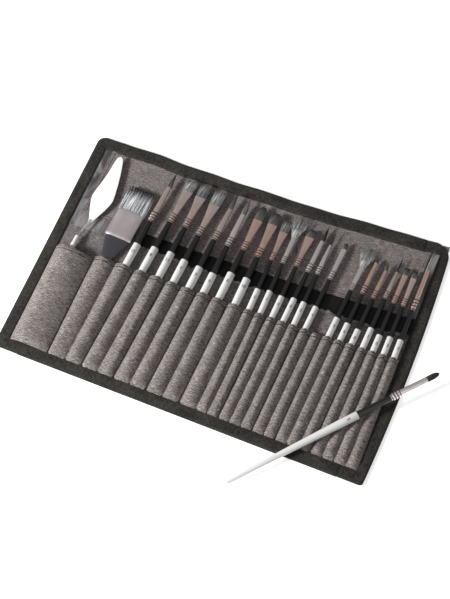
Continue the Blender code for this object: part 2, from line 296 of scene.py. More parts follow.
# painted shade: a near-black satin sheet laid where the gap under the flap's lower edge is shaded between the
# handles
SHADOW_LINING = satin("painted shade satin", (0.0015, 0.0015, 0.0015), (0.009, 0.0085, 0.0085), 0.22)
print("cloth materials made")

# %% [markdown]
# ## Thread
# Topstitching is polyester thread, a little darker than the cloth and slightly shiny.


# %% Thread material
def sewing_thread(name, colour):
    mat = Material(name, rough=0.6, sheen=0.2)
    return mat.set(colour, height=mat.noise(mat.coords("Object"), 4000), bump=0.3)


THREAD = sewing_thread("dark thread", (0.035, 0.032, 0.031))
# black thread; on the pockets' lower mouth row it also serves as painted shade, the dark line under the hem's edge
BLACK_THREAD = sewing_thread("black thread", (0.012, 0.011, 0.010))
print("threads made")

# %% [markdown]
# ## Lacquer, metal and hair
# The handles are pearl white with a black section; the lacquer is smooth, so most of its look is the coat on
# top. The ferrules are plated tube, rose gold to silver. The hair is synthetic, grey with darker tips.


# %% Hard materials
def lacquer(name, colour, rough, coat, fleck=0.0):
    mat = Material(name, rough=rough, coat=coat, coat_rough=0.12)
    cloud = mat.noise(mat.coords("Object"), 90, 3.0)
    tint = tuple(c * (1 - fleck) for c in colour)
    return mat.set(mat.mix(cloud, tint, colour), rough=cloud * 0.08 + (rough - 0.04),
                   height=cloud, bump=0.05)


CRIMP_START, CRIMP_PITCH = 0.065, 0.075


def plated(name, colour, pale, rough=0.3, metal=1.0, crimped=True):
    """Plated tube; where it is crimped, the grooves beside the rings are darkened as painted shade."""
    mat = Material(name, rough=rough, metal=metal)
    drawn = mat.noise(mat.coords("Object", scale=(1, 0.08, 1)), 1500, 2.0)
    cloud = mat.noise(mat.coords("Object"), 120, 2.0)
    tone = mat.mix(cloud, colour, pale)
    if crimped:
        along = Value(mat, mat.node("SeparateXYZ", None, mat.coords("UV")).outputs[1])
        swing = ((along - CRIMP_START) * (2 * pi / CRIMP_PITCH)).cosine()
        # painted shade: the colour turns near black in the grooves beside the crimp rings
        crimp_shade = (swing < -0.35) * (along < CRIMP_START + 2.7 * CRIMP_PITCH)
        tone = mat.mix(crimp_shade * 0.8, tone, (0.06, 0.045, 0.04))
    return mat.set(tone, rough=drawn * 0.16 + (rough - 0.08), height=drawn, bump=0.05, distance=0.0001)


def hair(name, root, middle, tip):
    """Hair whose colour runs along each filament: the piece's UV holds 0 at the ferrule and 1 at the tip."""
    mat = Material(name, rough=0.5, sheen=0.2, specular=0.4)
    along = Value(mat, mat.node("SeparateXYZ", None, mat.coords("UV")).outputs[1])
    streak = mat.noise(mat.coords("UV", scale=(60, 0.7, 1)), 1.0, 2.0)
    tone = mat.ramp((along + (streak - 0.5) * 0.35).clamp(), (0.0, root), (0.55, middle), (0.95, tip))
    dark = mat.ramp(streak, (0.40, (0.25, 0.25, 0.25)), (0.56, (1, 1, 1)), (0.7, (1.6, 1.6, 1.6)))
    colour = mat.mix(1.0, tone, dark, "MULTIPLY")
    return mat.set(colour, rough=streak * 0.2 + 0.4, height=streak, bump=0.5, distance=0.0003)


PEARL = lacquer("pearl lacquer", (0.66, 0.655, 0.65), 0.38, 0.15, 0.03)
BLACK = lacquer("black lacquer", (0.0045, 0.0045, 0.005), 0.3, 0.35)
GREY_BLACK = lacquer("slate lacquer", (0.030, 0.029, 0.034), 0.35, 0.25)
INK = lacquer("grey ink", (0.05, 0.05, 0.055), 0.5, 0.0)
SILVER = plated("silver plate", (0.88, 0.80, 0.79), (0.99, 0.94, 0.93), 0.34)
ROSE = plated("rose plate", (0.74, 0.565, 0.52), (0.99, 0.83, 0.78), 0.34)
COPPER = plated("copper plate", (0.72, 0.485, 0.40), (0.98, 0.75, 0.66), 0.34)
BEIGE = plated("champagne plate", (0.66, 0.56, 0.50), (0.93, 0.83, 0.76), 0.34)
BROAD_PLATE = plated("broad pink plate", (0.62, 0.54, 0.54), (0.80, 0.73, 0.73), 0.42, crimped=False)
STEEL = plated("satin steel", (0.93, 0.925, 0.90), (0.98, 0.975, 0.955), 0.5, 0.25, crimped=False)
GREY_HAIR = hair("grey hair", (0.24, 0.245, 0.245), (0.27, 0.275, 0.28), (0.10, 0.10, 0.10))
DARK_TIP_HAIR = hair("dark tipped hair", (0.23, 0.225, 0.22), (0.12, 0.115, 0.11), (0.012, 0.011, 0.011))
DARK_HAIR = hair("dark hair", (0.05, 0.048, 0.045), (0.02, 0.019, 0.018), (0.006, 0.006, 0.006))
PALE_HAIR = hair("pale hair", (0.42, 0.42, 0.42), (0.46, 0.46, 0.46), (0.16, 0.16, 0.16))
WASH_HAIR = hair("wash hair", (0.66, 0.67, 0.68), (0.72, 0.73, 0.74), (0.03, 0.03, 0.03))
print("hard materials made")

# %% [markdown]
# ## Camera, light and floor
# The case lies on a white sweep. The camera looks down at about 67 degrees from in front and to the right,
# rolled so that the case runs downhill to the right, and the light comes from the near left, so that every
# pocket has a lit side and a dark side.

# %% Camera
AIM = Vector((LOW.x + 287.9 * MM, LOW.y + 180.8 * MM, 0))
VIEW_FROM, VIEW_UP, VIEW_ROLL, VIEW_DISTANCE = 41.13, 66.73, -19.54, 1.5047
level = cos(radians(VIEW_UP))
towards = Vector((level * sin(radians(VIEW_FROM)), -level * cos(radians(VIEW_FROM)), sin(radians(VIEW_UP))))
camera = bpy.data.objects.new("camera", bpy.data.cameras.new("camera"))
bpy.context.scene.collection.objects.link(camera)
turned_view = towards.to_track_quat("Z", "Y").to_matrix() @ Matrix.Rotation(radians(VIEW_ROLL), 3, "Z")
camera.matrix_world = Matrix.Translation(AIM + towards * VIEW_DISTANCE) @ turned_view.to_4x4()
camera.data.lens = 63.68
camera.data.sensor_width = camera.data.sensor_height = 36
camera.data.sensor_fit = "AUTO"
camera.data.clip_end = 20
bpy.context.scene.camera = camera
print("camera at", tuple(round(c, 3) for c in camera.location))


# %% Floor and lights
def area_light(name, at, size, power):
    lamp = bpy.data.lights.new(name, "AREA")
    lamp.energy, lamp.size = power, size
    made = bpy.data.objects.new(name, lamp)
    made.location = at
    made.rotation_euler = (AIM - Vector(at)).to_track_quat("-Z", "Y").to_euler()
    bpy.context.scene.collection.objects.link(made)


bm = bmesh.new()
bmesh.ops.create_grid(bm, x_segments=2, y_segments=2, size=6)
bmesh.ops.translate(bm, verts=bm.verts, vec=(0, 0, -0.0002))
floor_mesh = bpy.data.meshes.new("floor")
bm.to_mesh(floor_mesh)
bm.free()
floor = bpy.data.objects.new("floor", floor_mesh)
bpy.context.scene.collection.objects.link(floor)
sweep = Material("white sweep", rough=0.95, specular=0.1)
sweep.shader.inputs["Emission Color"].default_value = (1, 1, 1, 1)
sweep.shader.inputs["Emission Strength"].default_value = 0.5
grain = sweep.noise(sweep.coords("Object"), 30)
floor.data.materials.append(sweep.set((0.92, 0.92, 0.92), height=grain, bump=0.01))
area_light("key", (-1.75, -1.05, 1.3), 0.55, 94)
area_light("fill", (1.0, -1.2, 2.2), 2.0, 9)
world = bpy.data.worlds.new("studio")
world.use_nodes = True
world.node_tree.nodes["Background"].inputs[0].default_value = (1, 1, 1, 1)
world.node_tree.nodes["Background"].inputs[1].default_value = 0.29
bpy.context.scene.world = world
bpy.context.scene.view_settings.view_transform = "Standard"
print("studio ready")

# %% [markdown]
# ## Laying a sheet
# Every cloth piece starts as a flat grid. One function moves each grid point to where the cloth lies,
# another gives its place on the flat cut, which becomes the UV map in metres so that the weave has its
# true scale. Pieces that cross a fold are cut at the middle of each strip.


# %% Sheet helpers
def show(name, mesh):
    piece = bpy.data.objects.new(name, mesh)
    bpy.context.scene.collection.objects.link(piece)
    return piece


def new_piece(name, bm, material, sharp=None):
    """Turn a bmesh into a smooth piece at the origin with one material."""
    mesh = bpy.data.meshes.new(name)
    bm.to_mesh(mesh)
    bm.free()
    mesh.materials.append(material)
    mesh.shade_smooth()
    if sharp:
        mesh.set_sharp_from_angle(angle=radians(sharp))
    return show(name, mesh)


def mesh_of(name, curve, material):
    """A curve, or type, as a mesh with one material."""
    made = bpy.data.objects.new(name, curve)
    mesh = bpy.data.meshes.new_from_object(made)
    bpy.data.objects.remove(made)
    mesh.materials.clear()
    mesh.materials.append(material)
    return mesh


SHORTEST_SIDE = 10 * MM  # the least that a side of a cut is taken to measure


def sheet_piece(name, across, along, shape, flat, material, thick=0.0, down=False, rim=False):
    """A grid of cloth: shape(u, v) places a point, flat(u, v) is its place on the cut, in millimetres."""
    bm = bmesh.new()
    bmesh.ops.create_grid(bm, x_segments=across, y_segments=along, size=0.5)
    layer = bm.loops.layers.uv.new("UVMap")
    for face in bm.faces:
        for loop in face.loops:
            loop[layer].uv = Vector(flat(loop.vert.co.x + 0.5, loop.vert.co.y + 0.5)) * MM
    for v in bm.verts:
        v.co = place(*shape(v.co.x + 0.5, v.co.y + 0.5))
    if down:
        bmesh.ops.reverse_faces(bm, faces=bm.faces)
    cut_area, spots = 0.0, []
    for face in bm.faces:
        ring = [loop[layer].uv.copy() for loop in face.loops]
        cut_area += abs(sum(a.x * b.y - b.x * a.y for a, b in zip(ring, ring[1:] + ring[:1]))) / 2
        spots += ring
    wide = max(p.x for p in spots) - min(p.x for p in spots)
    deep = max(p.y for p in spots) - min(p.y for p in spots)
    piece = new_piece(name, bm, material)
    piece["cut"] = (wide, deep, cut_area)
    if thick:
        wall = piece.modifiers.new("thickness", "SOLIDIFY")
        wall.thickness, wall.offset = abs(thick) * MM, -1.0 if thick > 0 else 1.0
        wall.use_rim = rim
    return piece


def as_laid(shape):
    """The cut of a sheet that lies flat: its own plan."""
    return lambda u, v: shape(u, v)[:2]


def declare(piece):
    """Take the record of its cut off a sheet piece; the extent and area of the cut are worked out and not used."""
    wide, deep, area = piece["cut"]
    del piece["cut"]
    wide, deep = max(wide, SHORTEST_SIDE), max(deep, SHORTEST_SIDE)
    min(area, wide * deep)


def middle_x(k, y):
    """The middle of strip k, where continuous cloth is cut."""
    return 0.5 * (fold_x(k - 1, y) + fold_x(k, y))


def joint_span(j, y, low, high):
    """Where the piece over fold j starts and ends at depth y, inside the limits low and high."""
    start = low if j == 1 else max(low, middle_x(j, y))
    end = high if j == STRIPS - 1 else middle_x(j + 1, y)
    return start, end


def bend(piece):
    """Bake a piece's transform into its mesh; the piece is not blended between strips, and no fold or reach is
    read.
    """
    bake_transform(piece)


def graded(u, start, end, centre, tight=0.55):
    """A grid share u spread from start to end, with more points near the fold at centre."""
    share = (centre - start) / (end - start)
    if u < share:
        t = 1 - u / share
        return centre - (centre - start) * (tight * t * t + (1 - tight) * t)
    t = (u - share) / (1 - share)
    return centre + (end - centre) * (tight * t * t + (1 - tight) * t)


def ripple(x, y, long=60.0, high=0.25):
    """A slow uneven rise of hand-laid cloth."""
    return high * (wander(x / long, y / long, 3.7) + 0.5 * wander(x / 17, y / 17, 9.1))


def crumple(x, y):
    """The finer creases of a thin lining."""
    return wander(x / 9, y / 14, 1.3) + 0.5 * wander(x / 4, y / 5, 4.3)


# %% [markdown]
# ## The back: outer canvas, backing and lining
# The outer canvas is what shows when the case is rolled. The backing carries the pockets, and a smooth
# lining lies over it from above the pockets to the top binding, showing beside and below the flap.

# %% Outer canvas, backing and lining
BACK_TOP = 2.0
LINING_LOW = 214.0


def across_fold(j, u, y, low, high):
    start, end = joint_span(j, y, low, high)
    return graded(u, start, end, fold_x(j, y))


for j in range(1, STRIPS):
    strips = [f"back_panel_{j:02d}"] + (["back_panel_10"] if j == STRIPS - 1 else [])

    def canvas_shape(u, v, j=j):
        y = 3 + v * (DEPTH - 6)
        x = across_fold(j, u, y, 3, WIDTH - 3)
        return x, y, 0.25 + 0.1 * abs(ripple(x, y))

    outer = sheet_piece(f"outer_canvas_{j:02d}", 28, 60, canvas_shape, as_laid(canvas_shape),
                        OUTER_CLOTH, thick=0.7, down=True)
    bend(outer)
    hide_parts(*strips)
    declare(outer)

    def backing_shape(u, v, j=j):
        y = 4 + v * (DEPTH - 8)
        x = across_fold(j, u, y, 4, WIDTH - 4)
        return x, y, BACK_TOP + 0.15 * ripple(x, y)

    backing = sheet_piece(f"backing_{j:02d}", 28, 60, backing_shape, as_laid(backing_shape),
                          BACK_CLOTH, thick=0.8)
    bend(backing)
    declare(backing)

    def lining_shape(u, v, j=j):
        y = LINING_LOW + v * (DEPTH - TAPE + 3 - LINING_LOW)
        x = across_fold(j, u, y, LEFT_TAPE - 3, WIDTH - RIGHT_TAPE + 3)
        return x, y, BACK_TOP + 0.45 + 0.3 * crumple(x, y)

    lining = sheet_piece(f"lining_{j:02d}", 44, 60, lining_shape, as_laid(lining_shape),
                         LINING, thick=0.2)
    bend(lining)
    declare(lining)
print("back laid in", STRIPS - 1, "bending pieces of three layers")

# %% [markdown]
# ## The binding
# A folded tape closes the raw edges all round. Its section is a soft U: flat under the case, round over
# the edge, and slightly domed on top. The two side tapes go round the front and back corners in a curve;
# the long runs are cut at the middle of each strip.

# %% Binding tape
TAPE_CUT = 44
LEFT_REACH, RIGHT_REACH = 40.5, 36.0  # how far the side tapes run along the front and back edges

def tape_section(w, wide):
    """Inset from the outer edge, and height, from the inner top edge round the outside to underneath."""
    top = [(wide, 2.7), (wide - 0.5, 3.5), (wide * 0.62, 4.15), (wide * 0.3, 4.25), (2.6, 4.1), (0.7, 3.4)]
    path = top + [(0.0, 2.1), (0.7, 0.8), (2.6, 0.12), (wide * 0.5, 0.05), (wide - 0.4, 0.05)]
    at = w * (len(path) - 1)
    i = min(int(at), len(path) - 2)
    t = at - i
    (a, b), (c, d) = path[i], path[i + 1]
    return a + (c - a) * t, b + (d - b) * t


def tape_wave(s):
    return 0.35 * wander(s / 30, 0.3, 7.7)


def long_tape(name, j, front):
    """One piece of the front or back tape."""

    def shape(u, v):
        inset, z = tape_section(v, TAPE)
        y = inset if front else DEPTH - inset
        start, end = joint_span(j, y, LEFT_REACH, WIDTH - RIGHT_REACH)
        x = graded(u, start, end, fold_x(j, y))
        return x, y + tape_wave(x) * (inset / TAPE), z

    return sheet_piece(name, 34, 20, shape, lambda u, v: (shape(u, v)[0], v * TAPE_CUT), TAPE_MAT,
                       thick=0.5, down=not front)


for j in range(1, STRIPS):
    for side, front in (("front", True), ("back", False)):
        run = long_tape(f"binding_{side}_{j:02d}", j, front)
        bend(run)
        declare(run)


def side_tape(name, wide, left, front, back):
    """The tape up one side, round a front and a back corner of those radii to where the long runs start."""
    reach = LEFT_REACH if left else RIGHT_REACH
    legs = [reach - front, front * pi / 2, DEPTH - front - back, back * pi / 2, reach - back]

    def outline(s):
        """Outer and inner point of the tape at distance s along its outer edge, for the left side."""
        if s < legs[0]:
            t = s / legs[0]
            return (reach - s, 0), (reach + (wide - reach) * t, TAPE)
        s -= legs[0]
        if s < legs[1]:
            a = s / front
            return (front - front * sin(a), front - front * cos(a)), (wide, TAPE)
        s -= legs[1]
        if s < legs[2]:
            t = s / legs[2]
            return (0, front + s), (wide, TAPE + t * (DEPTH - 2 * TAPE))
        s -= legs[2]
        if s < legs[3]:
            a = s / back
            return (back - back * cos(a), DEPTH - back + back * sin(a)), (wide, DEPTH - TAPE)
        t = min(1.0, (s - legs[3]) / legs[4])
        return (back + t * (reach - back), DEPTH), (wide + (reach - wide) * t, DEPTH - TAPE)

    def shape(u, v):
        outer, inner = outline(u * sum(legs))
        inset, z = tape_section(v, TAPE)
        t = inset / TAPE
        x, y = outer[0] + (inner[0] - outer[0]) * t, outer[1] + (inner[1] - outer[1]) * t
        x += 0.5 * tape_wave(y) * t
        return (x if left else WIDTH - x), y, z

    return sheet_piece(name, 150, 20, shape, lambda u, v: (u * sum(legs), v * TAPE_CUT), TAPE_MAT,
                       thick=0.5, down=not left)


for name, wide, left, strip, front, back in (("binding_side_left", LEFT_TAPE, True, 1, 9, 13),
                                             ("binding_side_right", RIGHT_TAPE, False, 10, 4, 26)):
    tape = side_tape(name, wide, left, front, back)
    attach(tape, f"strip_{strip:02d}")
    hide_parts("binding_left" if left else "binding_right")
    declare(tape)
print("binding made")

# %% [markdown]
# ## The pockets
# The pocket cloth is one corrugated sheet: over each tool it rises in a bulge and comes down to a stitch
# line, where the next bulge starts in a sharp crease. The bulges sink towards the closed bottom, their
# crests follow the tools, and small wrinkles run across them where the cloth was pulled round the
# handles.

# %% Pocket cloth
FLOOR = BACK_TOP + 0.35
TOOL_BODY = {}
for joint in frame["joints"]:
    if joint["name"].startswith("draw_"):
        TOOL_BODY[joint["child"]] = Vector(joint["axis"]).normalized()


def node_corners(nodes):
    return [v.co for node in nodes for v in frame["nodes"][node].data.vertices]


def spine(body):
    """The end point of a tool's handle and its direction, measured on the model's nodes."""
    along = TOOL_BODY[body]
    corners = node_corners(frame["record"]["behaviour"]["bodies"][body])
    start = min(c.dot(along) for c in corners)
    near = {tuple(round(x, 6) for x in c) for c in corners if c.dot(along) < start + 2e-5}
    return sum((Vector(c) for c in near), Vector()) / len(near), along


POCKET_TOOL = {0: "palette_knife", 1: "wash_brush"}
BRUSH_ORDER = ["round_large", "flat_large", "filbert_large", "flat_wide", "round_medium", "round_soft",
               "filbert_medium", "angled_flat", "flat_small", "fan_large", "filbert_small", "round_long",
               "liner_medium", "round_small", None, "fan_small", "round_short", "round_fine", "liner_long",
               "flat_fine", "filbert_fine", "dagger"]
for p, name in enumerate(BRUSH_ORDER, start=2):
    if name:
        POCKET_TOOL[p] = f"brush_{name}"
SPINES = {body: spine(body) for body in POCKET_TOOL.values()}


def tool_x(body, y):
    """The x of a tool's own line at depth y."""
    at, along = SPINES[body]
    return (at.x - LOW.x) / MM + along.x / along.y * (y - (at.y - LOW.y) / MM)


def crest_height(p, y):
    """Height of a pocket's crest over the table: inner face, from the closed bottom to the mouth."""
    low, high = (15.2, 21.3) if p == 0 else (8.6, 12.9) if p == 1 else (8.9, 15.3) if p <= 9 else (8.2, 12.9)
    if p not in POCKET_TOOL:
        high = 8.5
    t = (y - TAPE) / (MOUTH - TAPE)
    sewn = min(1.0, (y - TAPE) / 7.0 * 0.4 + 0.6)
    return (low + (high - low) * t) * sewn


SIDE_STITCH, SIDE_FOLD = 0.8, 1.2  # how steeply a bulge leaves a plain stitch line, and a fold
FOLD_MARGIN = 1.1
FIRST_MOUTH_DROP = 5
FOLD_LEFT = [sum(POCKETS_OF[:k]) for k in range(STRIPS)]
FOLD_RIGHT = [sum(POCKETS_OF[:k]) - 1 for k in range(1, STRIPS + 1)]


def pocket_height(x, y, p):
    """Height of the pocket cloth at x, y inside pocket p."""
    left, right = pocket_x(p, y), pocket_x(p + 1, y)
    crest = 0.5
    if p in POCKET_TOOL:
        crest = min(0.64, max(0.36, (tool_x(POCKET_TOOL[p], y) - left) / (right - left)))
    u = min(1.0, max(0.0, (x - left) / (right - left)))
    warped = 0.5 * u / crest if u < crest else 0.5 + 0.5 * (u - crest) / (1 - crest)
    slope = SIDE_FOLD if p in (FOLD_LEFT if warped < 0.5 else FOLD_RIGHT) else SIDE_STITCH
    swell = sin(pi * warped) ** (slope if p else 0.8)
    mouth = 1 + 0.03 * sin(y / 23 + p * 1.7)
    pull = wander(x / 11 + p, y / 3.1, 0.5) * 0.42 + wander(x / 26, y / 11 + p, 5.5) * 0.5
    pull *= min(1.0, 3 * swell)
    return FLOOR + (crest_height(p, y) - FLOOR) * swell * mouth + pull + 0.25


def mouth_of(k):
    """The depth of the pockets' mouths on strip k."""
    return MOUTH - (FIRST_MOUTH_DROP if k == 1 else 0)


def over_pockets(k, u, y):
    """The pocket and the x at share u across strip k, with equal shares for equal widths."""
    first, count = FOLD_LEFT[k - 1], POCKETS_OF[k - 1]
    lines = [pocket_x(p, y) for p in range(first, first + count + 1)]
    lines[0] += FOLD_MARGIN
    lines[-1] -= FOLD_MARGIN
    x = lines[0] + u * (lines[-1] - lines[0])
    p = first
    while p < first + count - 1 and x > lines[p - first + 1]:
        p += 1
    return p, x


def arc_length(k, steps):
    """How far across the cut cloth each grid line of strip k lies, measured over the bulges at mid depth."""
    total, table, last = 0.0, [0.0], None
    y = 0.6 * MOUTH
    for i in range(steps + 1):
        p, x = over_pockets(k, i / steps, y)
        z = pocket_height(x, y, p)
        if last:
            total += hypot(x - last[0], z - last[1])
            table.append(total)
        last = (x, z)
    return table


for k in range(1, STRIPS + 1):
    steps = {1: 40}.get(k, 16 * POCKETS_OF[k - 1])
    arc = arc_length(k, steps)
    shift = 97.0 * k
    mouth = mouth_of(k)

    def cloth_shape(u, v, k=k, mouth=mouth):
        y = TAPE - 2 + v * (mouth - TAPE + 2)
        p, x = over_pockets(k, u, max(y, TAPE))
        return x, y, pocket_height(x, max(y, TAPE), p)

    def cloth_flat(u, v, arc=arc, steps=steps, shift=shift):
        return shift + arc[round(u * steps)], v * (MOUTH - TAPE)

    cloth = sheet_piece(f"pocket_sheet_{k:02d}", steps, 84, cloth_shape, cloth_flat, POCKET_CLOTH,
                        thick=-0.55, rim=True)
    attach(cloth, f"strip_{k:02d}")
    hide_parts(f"pocket_cloth_{k:02d}")
    declare(cloth)

    def hem_shape(u, v, k=k, mouth=mouth):
        y = mouth + 0.55 - 7.2 * (1 - v)
        p, x = over_pockets(k, u, min(y, mouth))
        z = pocket_height(x, min(y, mouth), p)
        lift = 0.75 if v < 0.9 else 0.75 - 1.6 * (v - 0.9) / 0.1 * 0.6
        if v < 0.08:
            lift = 0.1
        return x, y, z + lift

    def hem_flat(u, v, arc=arc, steps=steps, shift=shift):
        return shift + 31 + arc[round(u * steps)], v * 7.5

    hem = sheet_piece(f"mouth_hem_{k:02d}", steps, 12, hem_shape, hem_flat, POCKET_CLOTH,
                      thick=-0.3, rim=True)
    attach(hem, f"strip_{k:02d}")
    declare(hem)
print("pockets made:", sum(POCKETS_OF))

# %% [markdown]
# ## Stitching
# A run of topstitching is a row of short thread loops. One curve holds a run: each stitch is its own short
# spline that dips into the cloth at both ends.


# %% Stitch helper and the runs
def stitch_run(name, points, material, radius=0.22, share=0.62, dip=0.25):
    """Thread along a list of points, in the working frame: each pair of neighbours is one stitch's pitch."""
    curve = bpy.data.curves.new(name, "CURVE")
    curve.dimensions = "3D"
    curve.bevel_depth, curve.bevel_resolution = radius * MM, 0
    for a, b in zip(points, points[1:]):
        a, b = place(*a), place(*b)
        end = a.lerp(b, share)
        spline = curve.splines.new("POLY")
        spline.points.add(3)
        for point, (t, drop) in zip(spline.points, ((0, dip), (0.2, 0), (0.8, 0), (1, dip))):
            point.co = (*(a.lerp(end, t) - Vector((0, 0, drop * MM))), 1)
    mesh = mesh_of(name, curve, material)
    mesh.shade_smooth()
    return show(name, mesh)


for k in range(1, STRIPS + 1):
    mouth = mouth_of(k)
    for row, depth in enumerate((mouth - 5.6, mouth - 1.9)):
        count = int((fold_x(k, depth) - fold_x(k - 1, depth)) * 0.62)
        points = []
        for i in range(count + 1):
            p, x = over_pockets(k, i / count, depth)
            points.append((x, depth, pocket_height(x, depth, p) + 1.4))
        # row 0 sits by the hem's lower edge: real stitches, laid thick in black thread so they are also painted
        # shade, the dark line under the hem's edge
        radius = 0.7 if row == 0 else 0.3
        seam = stitch_run(f"mouth_stitch_{k:02d}_{row}", points, BLACK_THREAD, radius, 0.92)
        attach(seam, f"strip_{k:02d}")

for j in range(1, STRIPS):
    for side in ("front", "back"):
        y = TAPE - 2.6 if side == "front" else DEPTH - TAPE + 2.6
        start, end = joint_span(j, y, 22, WIDTH - 16)
        count = round((end - start) / 3.2)
        points = [(start + (end - start) * i / count, y, 3.75) for i in range(count + 1)]
        seam = stitch_run(f"binding_stitch_{side}_{j:02d}", points, BLACK_THREAD)
        bend(seam)
for name, x, strip in (("left", LEFT_TAPE - 2.6, 1), ("right", WIDTH - RIGHT_TAPE + 2.4, 10)):
    count = round((DEPTH - 2 * TAPE) / 3.2)
    points = [(x, TAPE + (DEPTH - 2 * TAPE) * i / count, 3.75) for i in range(count + 1)]
    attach(stitch_run(f"binding_stitch_{name}", points, BLACK_THREAD), f"strip_{strip:02d}")
print("stitching sewn")

# %% [markdown]
# ## The tip flap
# The flap hangs from the top binding and lies under the tools' heads. Its three free edges are turned and
# double stitched; the lower edge stands a little off the lining, and the dark gap under it between the handles is
# painted shade.

# %% Flap
HEM = 6.0
FLAP_TOP = DEPTH - TAPE + 2
FLAP_MIDDLE = 280


def flap_height(x, y):
    near = exp(-((y - FLAP_LOW) / 9.0) ** 2)
    return 2.85 + 0.45 * ripple(x, y, 35, 1.0) + near * (0.45 + 0.45 * wander(x / 21, 0.2, 2.2))


def flap_edge(x):
    """The lower edge isn't quite straight: it drops a little to the left."""
    return FLAP_LOW - 3.5 + 7.5 * (x / WIDTH) + 0.8 * wander(x / 40, 3.3, 0)


for j in range(1, STRIPS):
    nodes = [f"tip_flap_{j:02d}"] + (["tip_flap_10"] if j == STRIPS - 1 else [])

    def flap_shape(u, v, j=j):
        y = flap_edge(FLAP_MIDDLE) + v * (FLAP_TOP - flap_edge(FLAP_MIDDLE))
        x = across_fold(j, u, y, FLAP_LEFT, FLAP_RIGHT)
        y = flap_edge(x) + v * (FLAP_TOP - flap_edge(x))
        return x, y, flap_height(x, y)

    def flap_cut(u, v, s=flap_shape):
        x, y, _ = s(u, v)
        return x + 13, y

    flap = sheet_piece(f"flap_{j:02d}", 30, 52, flap_shape, flap_cut, FLAP_CLOTH, thick=0.5)
    bend(flap)
    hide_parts(*nodes)
    declare(flap)

    def flap_hem_shape(u, v, j=j):
        y = flap_edge(FLAP_MIDDLE) + v * HEM
        x = across_fold(j, u, y, FLAP_LEFT, FLAP_RIGHT)
        y = flap_edge(x) - 0.3 + v * HEM
        return x, y, flap_height(x, y) + (0.5 if 0.1 < v < 0.95 else 0.05)

    def hem_cut(u, v, s=flap_hem_shape):
        return s(u, v)[0] + 57, v * HEM

    hem = sheet_piece(f"flap_hem_{j:02d}", 30, 8, flap_hem_shape, hem_cut, FLAP_CLOTH, thick=0.3)
    bend(hem)
    declare(hem)

    start, end = joint_span(j, FLAP_LOW, FLAP_LEFT + 3, FLAP_RIGHT - 3)
    count = round((end - start) / 2.6)
    for row, above in enumerate((1.4, 4.6)):
        points = []
        for i in range(count + 1):
            x = start + (end - start) * i / count
            y = flap_edge(x) + above
            points.append((x, y, flap_height(x, y) + 0.62))
        bend(stitch_run(f"flap_stitch_{j:02d}_{row}", points, THREAD, 0.36, 0.8))

    # painted shade: a near-black sheet under the flap's lower edge, between the handles, with a ragged lower edge
    def shadow_shape(u, v, j=j):
        x = across_fold(j, u, LINING_LOW + v * (FLAP_LOW - LINING_LOW), 128, 548)
        ragged = 5.0 * wander(x / 12, 0.5, 8.8) + 3.0 * wander(x / 5, 1.5, 8.8)
        y = LINING_LOW + 3 + ragged * (1 - v) + v * (FLAP_LOW - LINING_LOW)
        return x, y, BACK_TOP + 0.75 + 0.3 * crumple(x, y)

    if j > 1:
        inner = sheet_piece(f"painted_shade_lining_{j:02d}", 40, 16, shadow_shape, as_laid(shadow_shape),
                            SHADOW_LINING, thick=0.15)
        bend(inner)
        declare(inner)


def side_hem(name, x0, strip):
    """The turned edge at one side of the flap with its double row of stitches."""

    def shape(u, v):
        x = x0 + u * HEM
        y = flap_edge(x) + v * (FLAP_TOP - flap_edge(x))
        return x, y, flap_height(x, y) + (0.5 if 0.1 < u < 0.9 else 0.05)

    hem = sheet_piece(name, 8, 50, shape, lambda u, v: (u * HEM, shape(u, v)[1]), FLAP_CLOTH, thick=0.3)
    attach(hem, f"strip_{strip:02d}")
    declare(hem)
    for row, inset in enumerate((1.2, 4.6)):
        x = x0 + inset
        low = flap_edge(x) + 2
        count = round((DEPTH - TAPE - low) / 2.6)
        points = []
        for i in range(count + 1):
            y = low + (DEPTH - TAPE - low) * i / count
            points.append((x, y, flap_height(x, y) + 0.62))
        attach(stitch_run(f"{name}_stitch_{row}", points, THREAD, 0.36, 0.8), f"strip_{strip:02d}")


side_hem("flap_hem_left", FLAP_LEFT - 0.3, 1)
side_hem("flap_hem_right", FLAP_RIGHT + 0.3 - HEM, 10)
print("flap made")

# %% [markdown]
# ## Turning and flattening
# Handles and ferrules are turned: a profile spun round the tool's own axis. A flat brush's ferrule starts
# round and is pressed flat, so after spinning, each ring is scaled to its half width and half thickness.


# %% Turning helpers
def turned(name, stations, material, to_world, segments=20, sharp=38):
    """Spin a profile of (distance along, half width, half thickness) in millimetres round the Z axis."""
    bm = bmesh.new()
    index = bm.verts.layers.int.new("ring")
    rail = [bm.verts.new((0, 0, stations[0][0]))]
    rail += [bm.verts.new((1, 0, s[0])) for s in stations]
    rail.append(bm.verts.new((0, 0, stations[-1][0])))
    for i, v in enumerate(rail):
        v[index] = i
    edges = [bm.edges.new(pair) for pair in zip(rail, rail[1:])]
    bmesh.ops.spin(bm, geom=rail + edges, cent=(0, 0, 0), axis=(0, 0, 1), angle=2 * pi, steps=segments,
                   use_merge=True)
    for v in bm.verts:
        i = v[index]
        if 0 < i < len(stations) + 1:
            _, wide, thick = stations[i - 1]
            v.co.x *= wide
            v.co.y *= thick
    bmesh.ops.remove_doubles(bm, verts=bm.verts, dist=1e-5)
    bmesh.ops.recalc_face_normals(bm, faces=bm.faces)
    layer = bm.loops.layers.uv.new("UVMap")
    low, high = stations[0][0], stations[-1][0]
    for face in bm.faces:
        for loop in face.loops:
            co = loop.vert.co
            loop[layer].uv = (atan2(co.y, co.x) / (2 * pi) * 0.2, (co.z - low) / (high - low))
    bm.transform(to_world)
    return new_piece(name, bm, material, sharp=sharp)


